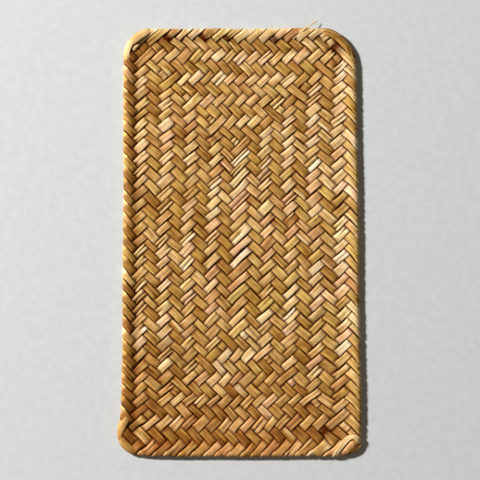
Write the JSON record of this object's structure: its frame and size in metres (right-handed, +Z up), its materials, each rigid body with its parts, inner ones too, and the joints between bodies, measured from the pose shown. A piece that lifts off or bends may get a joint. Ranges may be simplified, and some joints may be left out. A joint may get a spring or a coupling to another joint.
{
  "type": "seagrass placemat",
  "caption": "Small oblong placemat plaited on the slant from flat seagrass strands, in nested rings, with a folded-over border and rounded corners.",
  "frame": {"origin": "on the surface under the middle of the mat, at the bottom centre of its box", "axes": "+Z up out of the mat's face, +Y along its length, +X across it"},
  "size_m": [0.1318, 0.236, 0.0036],
  "materials": {
    "seagrass": "dry flat straw strands, honey tan to olive and pinkish brown, with a slight gloss"
  },
  "bodies": {
    "root": {"placemat": "seagrass"}
  },
  "joints": []
}
